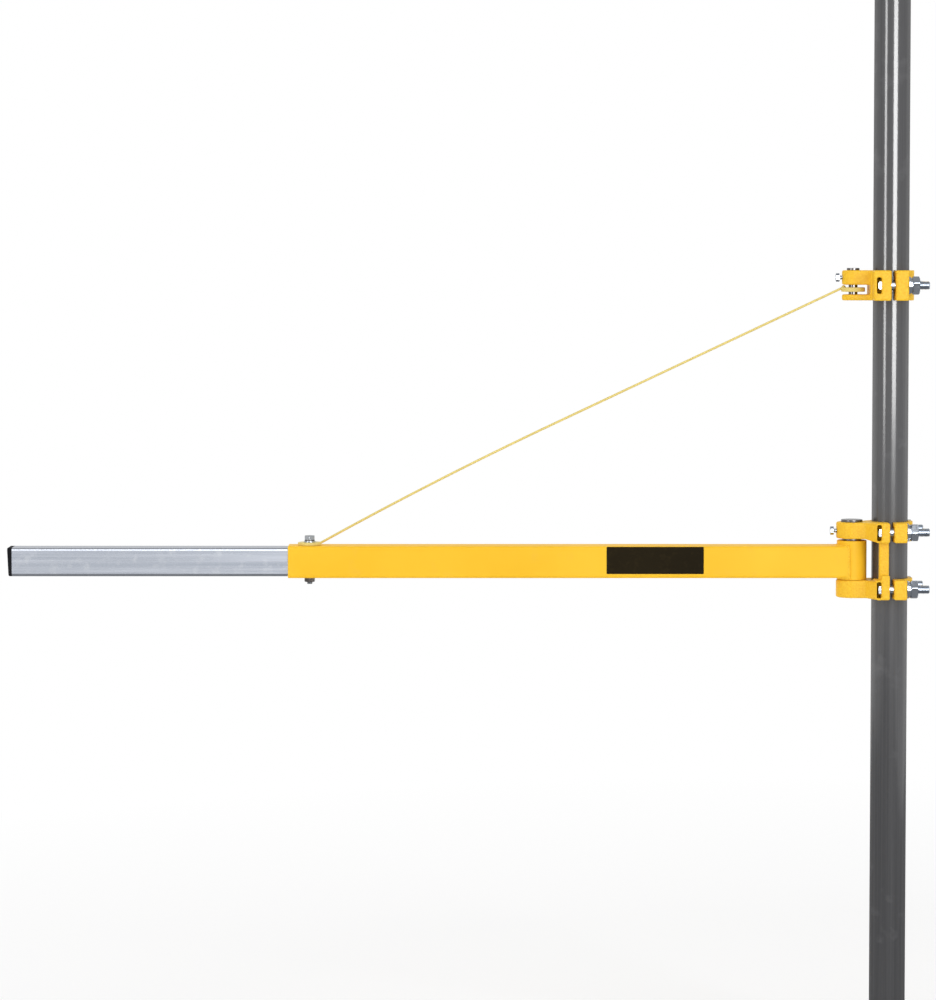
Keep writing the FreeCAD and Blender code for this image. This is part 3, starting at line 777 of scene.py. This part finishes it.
def mast_pole():
    low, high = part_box("mast_pole")
    bpy.ops.mesh.primitive_cylinder_add(
        vertices=POLE_SIDES,
        radius=(high.x - low.x) / 2,
        depth=high.z - low.z,
        end_fill_type="NOTHING",
        location=(low + high) / 2,
    )
    piece = named(finished("mast_pole"))
    shaped(piece, "SOLIDIFY", thickness=POLE_WALL, offset=-1, use_even_offset=True)
    softened(piece, POLE_EDGE)
    dress_node(piece, POLE_PAINT, "mast_pole")


def casting(node):
    """A node's shape with its corners run together and its skin uneven, as sand leaves it."""
    piece = bpy.data.objects.new(finished(node), frame["nodes"][node].data.copy())
    bpy.context.scene.collection.objects.link(piece)
    run_together(merged(piece), **CASTING_SKIN)
    dress_node(piece, CAST_ENAMEL, node)


def headed_pin(node, radius, head_height):
    """A turned pin: its shank extruded into a wider head with a broken edge."""
    low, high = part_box(node)
    seat = high.z - head_height
    centre = middle(node)
    piece = rod(finished(node), radius, (centre.x, centre.y, low.z), seat - low.z)
    open_with(piece, "FACE", lambda face: face.normal.z > ALONG)
    bpy.ops.mesh.extrude_region_move(TRANSFORM_OT_translate={"value": (0, 0, 0)})
    spread = (high.x - low.x) / 2 / radius
    bpy.ops.transform.resize(value=(spread, spread, 1), center_override=(centre.x, centre.y, seat))
    bpy.ops.mesh.extrude_region_move(TRANSFORM_OT_translate={"value": (0, 0, head_height)})
    close()
    softened(merged(piece), PIN_EDGE, segments=3)
    dress_node(piece, DARK_STEEL, node)


# The fasteners in their places

def flat_washer(node, bore, axis, material=PLATED):
    low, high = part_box(node)
    direction = DIRECTIONS[axis]
    thickness = (high - low).dot(direction)
    start = middle(node) - direction * thickness / 2
    piece = ring(finished(node), (high.y - low.y) / 2, bore, start, thickness, axis)
    dress_node(piece, material, node)


def clamp_fasteners():
    """The six clamp bolts with their nuts and washers, copied from one master of each kind."""
    bore = CLAMP_BOLT["radius"] * WASHER_FIT
    bolt_sizes = {"length": CLAMP_BOLT_LENGTH, "threaded": CLAMP_BOLT_THREAD}
    bolt_master = laid_along_x(hex_bolt("bolt_master", **CLAMP_BOLT, **bolt_sizes))
    nut_sizes = (CLAMP_BOLT["radius"], CLAMP_NUT_FLATS, CLAMP_NUT_HEIGHT)
    nut_master = laid_along_x(hex_nut("nut_master", *nut_sizes))
    low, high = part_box("stay_front_lock_washer")
    lock_sizes = ((high.y - low.y) / 2, bore, high.x - low.x)
    lock_master = laid_along_x(split_ring("lock_master", *lock_sizes))
    for clamp, front_turn in NUT_TURNS.items():
        for side, extra in (("front", 0), ("back", BACK_NUT_TURN)):
            label = f"{clamp}_{side}"
            centre = middle(f"{label}_bolt")
            bolt_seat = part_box(f"{label}_bolt")[0].x + CLAMP_BOLT["head"]
            nut_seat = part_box(f"{label}_nut")[1].x
            lock_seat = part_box(f"{label}_lock_washer")[1].x
            nut_turn = math.radians(front_turn + extra)
            lock_turn = LOCK_TURN_RATE * nut_turn + LOCK_TURN_START
            for kind, master, seat, turn in (
                ("bolt", bolt_master, bolt_seat, 0),
                ("nut", nut_master, nut_seat, nut_turn),
                ("lock_washer", lock_master, lock_seat, lock_turn),
            ):
                node = f"{label}_{kind}"
                piece = copy_down(master, node, (seat, centre.y, centre.z), (turn, 0, 0))
                dress_node(piece, PLATED, node)
            flat_washer(f"{label}_washer", bore, "X")
    for master in (bolt_master, nut_master, lock_master):
        bpy.data.objects.remove(master)


def lock_screw(node):
    low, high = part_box(node)
    length = high.x - low.x - LOCK_SCREW["head"]
    piece = laid_along_x(hex_bolt("screw_blank", **LOCK_SCREW, length=length, threaded=length))
    centre = middle(node)
    set_down(piece, node, (low.x + LOCK_SCREW["head"], centre.y, centre.z))
    dress_node(piece, PLATED, node)


def arm_fasteners():
    centre = middle("arm_bolt")
    bore = ARM_BOLT["radius"] * WASHER_FIT
    low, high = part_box("arm_lock_washer")
    bolt_sizes = {"length": ARM_BOLT_LENGTH, "threaded": ARM_BOLT_THREAD}
    bolt = hex_bolt("bolt_blank", **ARM_BOLT, **bolt_sizes)
    set_down(bolt, "arm_bolt", (centre.x, centre.y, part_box("arm_bolt")[1].z - ARM_BOLT["head"]))
    dress_node(bolt, DULL_PLATE, "arm_bolt")
    nut = hex_nut("nut_blank", ARM_BOLT["radius"], ARM_BOLT["flats"], ARM_NUT_HEIGHT)
    set_down(nut, "arm_nut", (centre.x, centre.y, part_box("arm_nut")[0].z), (0, 0, ARM_NUT_TURN))
    # The nut's dark colour is painted shade for the shadow of the arm above it
    dress_node(nut, PAINTED_SHADE_STEEL, "arm_nut")
    lock = split_ring("lock_blank", (high.y - low.y) / 2, bore, high.z - low.z)
    set_down(lock, "arm_lock_washer", (centre.x, centre.y, low.z))
    # The lock washer's dark steel is partly painted shade: it stands in for the shadow line under the bolt
    # head
    dress_node(lock, DARK_STEEL, "arm_lock_washer")
    flat_washer("arm_washer", bore, "Z")


# The arm

def sleeve_radius():
    low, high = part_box("pivot_sleeve")
    return (high.x - low.x) / 2


def pivot_sleeve():
    low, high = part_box("pivot_sleeve")
    start = (middle("pivot_sleeve").x, 0, low.z)
    sizes = (sleeve_radius(), PIN_RADIUS * SLEEVE_FIT, start, high.z - low.z)
    piece = ring(finished("pivot_sleeve"), *sizes, edge=SLEEVE_EDGE)
    dress_node(piece, TUBE_ENAMEL, "pivot_sleeve")


def bolt_hole(piece):
    """Drills a tube for the arm bolt, from above the arm to below it."""
    overrun = MM
    low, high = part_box("arm_tube")
    start = (middle("arm_bolt").x, 0, low.z - overrun)
    radius = ARM_BOLT["radius"] + HOLE_ROOM
    return carved(piece, rod("bolt_drill", radius, start, high.z - low.z + 2 * overrun))


def arm_tube():
    low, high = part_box("arm_tube")
    piece = square_tube(finished("arm_tube"), low, high, ARM_CORNER)
    soften_at(piece, "X", low.x, ARM_EDGE)
    sleeve_low, sleeve_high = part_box("pivot_sleeve")
    start = (middle("pivot_sleeve").x, 0, sleeve_low.z)
    carved(piece, rod("cope", sleeve_radius(), start, sleeve_high.z - sleeve_low.z))
    dress_node(bolt_hole(piece), TUBE_ENAMEL, "arm_tube")


def extension_tube():
    low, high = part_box("extension_tube")
    piece = square_tube(finished("extension_tube"), low, high, EXTENSION_CORNER)
    soften_at(piece, "X", high.x, EXTENSION_EDGE)
    dress_node(bolt_hole(piece), GALVANISED, "extension_tube")


def extension_plug():
    """A moulded plug: a rounded flange that leans a little, and a hollow insert in the tube."""
    low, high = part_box("extension_plug")
    inner_face = low.x + PLUG_FLANGE
    corner = Vector((inner_face, high.y, high.z))
    piece = rounded_block(finished("extension_plug"), low, corner, "X", EXTENSION_CORNER)
    soften_at(piece, "X", low.x, PLUG_EDGE, segments=4)
    open_with(piece, "FACE", lambda face: face.normal.x > ALONG)
    bpy.ops.mesh.inset(thickness=TUBE_WALL + PLUG_GAP)
    depth = high.x - inner_face
    bpy.ops.mesh.extrude_region_move(TRANSFORM_OT_translate={"value": (depth, 0, 0)})
    bpy.ops.mesh.inset(thickness=TUBE_WALL)
    bpy.ops.mesh.extrude_region_move(TRANSFORM_OT_translate={"value": (-PLUG_HOLLOW * depth, 0, 0)})
    close()
    open_with(piece, "FACE", lambda face: face.center.x < low.x + PLUG_LEANING * PLUG_FLANGE)
    bpy.ops.transform.rotate(
        value=PLUG_LEAN, orient_axis="Y", center_override=(low.x, 0, (low.z + high.z) / 2)
    )
    close()
    dress_node(piece, BLACK_PLASTIC, "extension_plug")


def weld_drop(place):
    bpy.ops.mesh.primitive_uv_sphere_add(
        segments=DROP_SEGMENTS, ring_count=DROP_RINGS, radius=WELD_RADIUS, location=place
    )
    return named("weld_drop")


def stay_eye(name, centre, thickness, bore, rod_end):
    """A flat ring with the weld of the rod's end on it, run together."""
    start = centre - Vector((0, 0, thickness / 2))
    eye = ring(name, EYE_RADIUS, bore, start, thickness, edge=EYE_EDGE)
    carved(eye, weld_drop(rod_end), "UNION")
    return run_together(eye, **EYE_SKIN)


def stay_rod():
    """The stay: straight from its upper eye, then a tangent arc down to the eye on the arm."""
    low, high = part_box("stay_rod")
    low_eye = Vector((low.x + EYE_RADIUS, 0, low.z + EYE_THICKNESS / 2))
    high_eye = Vector((high.x - EYE_RADIUS, 0, middle("arm_tube").z + STAY_RISE))
    inset = EYE_RADIUS - 2 * STAY_RADIUS
    foot = low_eye + Vector((inset, 0, 0))
    top = high_eye + Vector((-inset, 0, STAY_LIFT))
    down = (foot - top).normalized()
    upward = Vector((down.z, 0, -down.x))
    bend = top + down * STAY_STRAIGHT + upward * STAY_BOW
    straight = bend - top
    arc_chord = foot - bend
    half_turn = straight.angle(arc_chord)
    arc_radius = arc_chord.length / 2 / math.sin(half_turn)
    inward = Vector((-straight.z, 0, straight.x)).normalized()
    if inward.dot(arc_chord) < 0:
        inward = -inward
    arc_centre = bend + inward * arc_radius
    bpy.ops.mesh.primitive_circle_add(
        vertices=STAY_SIDES,
        radius=STAY_RADIUS,
        fill_type="NGON",
        location=top,
        rotation=straight.to_track_quat("Z", "Y").to_euler(),
    )
    piece = named(finished("stay_rod"))
    open_all(piece)
    bpy.ops.mesh.extrude_region_move(TRANSFORM_OT_translate={"value": straight})
    turn_axis = straight.cross(inward).normalized()
    bpy.ops.mesh.spin(steps=STAY_ARC_STEPS, angle=-2 * half_turn, center=arc_centre, axis=turn_axis)
    close()
    merged(piece)
    low_bore = ARM_BOLT["radius"] + HOLE_ROOM
    high_bore = STAY_PIN_RADIUS * CLOSE_FIT
    carved(piece, stay_eye("low_eye", low_eye, EYE_THICKNESS, low_bore, foot), "UNION")
    carved(piece, stay_eye("high_eye", high_eye, FORK_EYE_THICKNESS, high_bore, top), "UNION")
    dress_node(piece, ROD_ENAMEL, "stay_rod")


def arm_weld():
    """The weld round the sleeve: rows of overlapping drops, run together."""
    arm_low, arm_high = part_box("arm_tube")
    pivot = middle("pivot_sleeve")
    runs = []
    row = {
        "count": int((arm_high.z - arm_low.z) / WELD_STEP),
        "use_relative_offset": False,
        "use_constant_offset": True,
        "constant_offset_displace": (0, 0, WELD_STEP),
    }
    drop_x = arm_high.x + WELD_PAST_TUBE
    drop_y = arm_high.y - WELD_INSIDE_SIDES
    for side in (-1, 1):
        run = weld_drop((drop_x, side * drop_y, arm_low.z + WELD_ABOVE_BOTTOM))
        runs.append(shaped(run, "ARRAY", **row))
    radius = sleeve_radius()
    reach = math.acos((pivot.x - arm_high.x) / radius)
    steps = int(2 * reach * radius / WELD_STEP)
    start = Vector((-math.cos(reach), -math.sin(reach), 0)) * radius
    for level in (arm_low.z + WELD_INSIDE_LEVELS, arm_high.z - WELD_INSIDE_LEVELS):
        run = weld_drop((pivot.x + start.x, start.y, level))
        open_all(run)
        bpy.ops.mesh.spin(
            steps=steps, dupli=True, angle=2 * reach, center=(pivot.x, 0, level), axis=(0, 0, 1)
        )
        close()
        runs.append(run)
    piece = run_together(joined("arm_weld", runs), **WELD_SKIN)
    dress(piece, CAST_ENAMEL, "arm_tube")


def side_panel():
    """A plain black panel stuck to the arm's front, its top edge bent over the tube's rounded corner."""
    arm_low, arm_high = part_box("arm_tube")
    skin = Vector((0, PANEL_THICKNESS, PANEL_THICKNESS))
    right = middle("pivot_sleeve").x - PANEL_FROM_PIVOT
    level = (arm_low.z + arm_high.z) / 2 + PANEL_RISE
    piece = rounded_block("side_panel", arm_low - skin, arm_high + skin, "X", ARM_CORNER + PANEL_THICKNESS)
    carved(piece, rounded_block("arm_core", arm_low, arm_high, "X", ARM_CORNER))
    window_low = Vector((right - PANEL_LENGTH, 2 * arm_low.y, level - PANEL_HEIGHT / 2))
    window_high = Vector((right, 0, level + PANEL_HEIGHT / 2))
    carved(piece, rounded_block("window", window_low, window_high, "Y", PANEL_CORNER), "INTERSECT")
    dress(piece, BLACK_VINYL, "arm_tube")


# All pieces, in the order in which they are made

CASTINGS = (
    "swivel_bracket",
    "stay_bracket",
    "swivel_upper_saddle",
    "swivel_lower_saddle",
    "stay_saddle",
)

bpy.ops.object.select_all(action="DESELECT")
mast_pole()
for cast_node in CASTINGS:
    casting(cast_node)
headed_pin("pivot_pin", PIN_RADIUS, PIN_HEAD_HEIGHT)
headed_pin("stay_pin", STAY_PIN_RADIUS, STAY_PIN_HEAD_HEIGHT)
clamp_fasteners()
lock_screw("pivot_lock_screw")
lock_screw("stay_lock_screw")
flat_washer("thrust_washer", PIN_RADIUS * CLOSE_FIT, "Z", DARK_STEEL)
arm_fasteners()
pivot_sleeve()
arm_tube()
extension_tube()
extension_plug()
stay_rod()
arm_weld()
side_panel()


# Floor, light and camera

WHITE = (1, 1, 1, 1)

# Strength of the white world as a fill light and in mirrors
WORLD_FILL = 0.72
WORLD_MIRRORED = 0.7

# The floor's size and shade, and how its glow grows from near the object to far off
FLOOR_SIZE = 120
FLOOR_SHADE = 0.93
GLOW_NEAR = 0.2
GLOW_FAR = 1.0
GLOW_GROWS_FROM = 1.0
GLOW_GROWS_TO = 2.4

# Where the lamps point
ARM_MIDDLE = Vector((-0.5, 0, 0.8))
PIVOT_MIDDLE = Vector((-0.05, 0, 0.7))
STRIP_LEVEL = 1.285
STRIP_MIDDLE = Vector((0, 0, STRIP_LEVEL))

# The camera, found from the photo: its place, downward tilt in degrees, lens and picture shift
CAMERA_PLACE = (-0.56848, -4.5, 1.088)
CAMERA_TILT = 2.736
CAMERA_SENSOR = 36
CAMERA_LENS = 120.4736
CAMERA_SHIFT = -0.0893
CAMERA_REACH = 200


def pale_world():
    """White where the camera looks past the object, and dimmer as a fill light and in mirrors."""
    world = bpy.data.worlds.new("pale_studio")
    bpy.context.scene.world = world
    world.use_nodes = True
    tree = world.node_tree
    background = set_inputs(tree.nodes["Background"], {"Color": WHITE})
    path = add(tree, "ShaderNodeLightPath")
    dimmed = ranged(tree, path.outputs["Is Glossy Ray"], 0.0, 1.0, WORLD_FILL, WORLD_MIRRORED)
    strength = add(tree, "ShaderNodeMath", operation="MAXIMUM")
    tree.links.new(path.outputs["Is Camera Ray"], strength.inputs[0])
    tree.links.new(dimmed, strength.inputs[1])
    tree.links.new(strength.outputs[0], background.inputs["Strength"])


def plain_material(name):
    """A material with nothing yet on its surface, its tree and the surface's socket."""
    material = bpy.data.materials.new(name)
    material.use_nodes = True
    tree = material.node_tree
    tree.nodes.remove(tree.nodes["Principled BSDF"])
    return material, tree, tree.nodes["Material Output"].inputs["Surface"]


def pale_floor():
    """A pale floor that keeps shadows near the object, and far off turns white to camera and mirrors."""
    bpy.ops.mesh.primitive_plane_add(size=FLOOR_SIZE, location=(0, 0, 0))
    floor = named("floor")
    material, tree, surface = plain_material("pale_floor")
    shade = {"Color": (FLOOR_SHADE, FLOOR_SHADE, FLOOR_SHADE, 1)}
    diffuse = set_inputs(add(tree, "ShaderNodeBsdfDiffuse"), shade)
    glow = set_inputs(add(tree, "ShaderNodeEmission"), {"Color": WHITE, "Strength": 1.0})
    path = add(tree, "ShaderNodeLightPath")
    shown = add(tree, "ShaderNodeMath", operation="MAXIMUM")
    tree.links.new(path.outputs["Is Camera Ray"], shown.inputs[0])
    tree.links.new(path.outputs["Is Glossy Ray"], shown.inputs[1])
    distance = add(tree, "ShaderNodeVectorMath", operation="LENGTH")
    tree.links.new(add(tree, "ShaderNodeTexCoord").outputs["Object"], distance.inputs[0])
    growth = (GLOW_GROWS_FROM, GLOW_GROWS_TO, GLOW_NEAR, GLOW_FAR)
    share = add(tree, "ShaderNodeMath", operation="MULTIPLY")
    tree.links.new(shown.outputs[0], share.inputs[0])
    tree.links.new(ranged(tree, distance.outputs["Value"], *growth), share.inputs[1])
    blend = add(tree, "ShaderNodeMixShader")
    tree.links.new(share.outputs[0], blend.inputs["Fac"])
    tree.links.new(diffuse.outputs[0], blend.inputs[1])
    tree.links.new(glow.outputs[0], blend.inputs[2])
    tree.links.new(blend.outputs[0], surface)
    floor.data.materials.append(material)


def softbox(name, place, target, width, height, power, lights=True, mirrored=True):
    """A lamp that the camera does not see; it may only light things, or only show mirrored in them."""
    bpy.ops.object.light_add(type="AREA", location=place)
    lamp = bpy.context.object
    lamp.name = name
    lamp.data.shape = "RECTANGLE"
    lamp.data.size = width
    lamp.data.size_y = height
    lamp.data.energy = power
    lamp.rotation_euler = (target - Vector(place)).to_track_quat("-Z", "Y").to_euler()
    lamp.visible_camera = False
    lamp.visible_diffuse = lights
    lamp.visible_glossy = mirrored


def studio_card(name, low, high, level, shade):
    """A card that only shows mirrored in glossy surfaces."""
    low = Vector((*low, level))
    high = Vector((*high, level))
    bpy.ops.mesh.primitive_plane_add(size=1, location=(low + high) / 2)
    bpy.context.object.scale = (high.x - low.x, high.y - low.y, 1)
    card = named(name)
    material, tree, surface = plain_material(name)
    glow = set_inputs(add(tree, "ShaderNodeEmission"), {"Color": (shade, shade, shade, 1)})
    tree.links.new(glow.outputs[0], surface)
    card.data.materials.append(material)
    card.visible_camera = False
    card.visible_diffuse = False
    card.visible_transmission = False
    card.visible_shadow = False


def photo_camera():
    tilted = (math.radians(90 - CAMERA_TILT), 0, 0)
    bpy.ops.object.camera_add(location=CAMERA_PLACE, rotation=tilted)
    camera = bpy.context.object
    camera.name = "photo_camera"
    camera.data.sensor_width = CAMERA_SENSOR
    camera.data.lens = CAMERA_LENS
    camera.data.shift_y = CAMERA_SHIFT
    camera.data.clip_end = CAMERA_REACH
    bpy.context.scene.camera = camera


bpy.context.scene.view_settings.view_transform = "Standard"
pale_world()
pale_floor()
softbox(
    "front_softbox", (-0.2, -3.3, 3.2), ARM_MIDDLE,
    width=4.0, height=2.2, power=66, lights=False,
)
softbox(
    "left_fill", (-3.4, -3.0, 2.4), ARM_MIDDLE,
    width=2.0, height=2.0, power=43, mirrored=False,
)
softbox(
    "right_fill", (2.6, -3.0, 2.4), PIVOT_MIDDLE,
    width=2.0, height=2.0, power=46, mirrored=False,
)
softbox(
    "back_softbox", (-0.6, 3.0, 3.2), ARM_MIDDLE,
    width=4.0, height=1.6, power=38, mirrored=False,
)
softbox(
    "right_strip", (1.34, -4.83, STRIP_LEVEL), STRIP_MIDDLE,
    width=2.18, height=1.33, power=128, lights=False,
)
softbox(
    "left_strip", (-3.6, -3.46, STRIP_LEVEL), STRIP_MIDDLE,
    width=1.14, height=1.33, power=43, lights=False,
)
studio_card("floor_card", low=(-3, -4.2), high=(2, 2.2), level=0.004, shade=0.28)
studio_card("ceiling_card", low=(-3, -1.6), high=(2, 1.6), level=3.0, shade=0.4)
photo_camera()
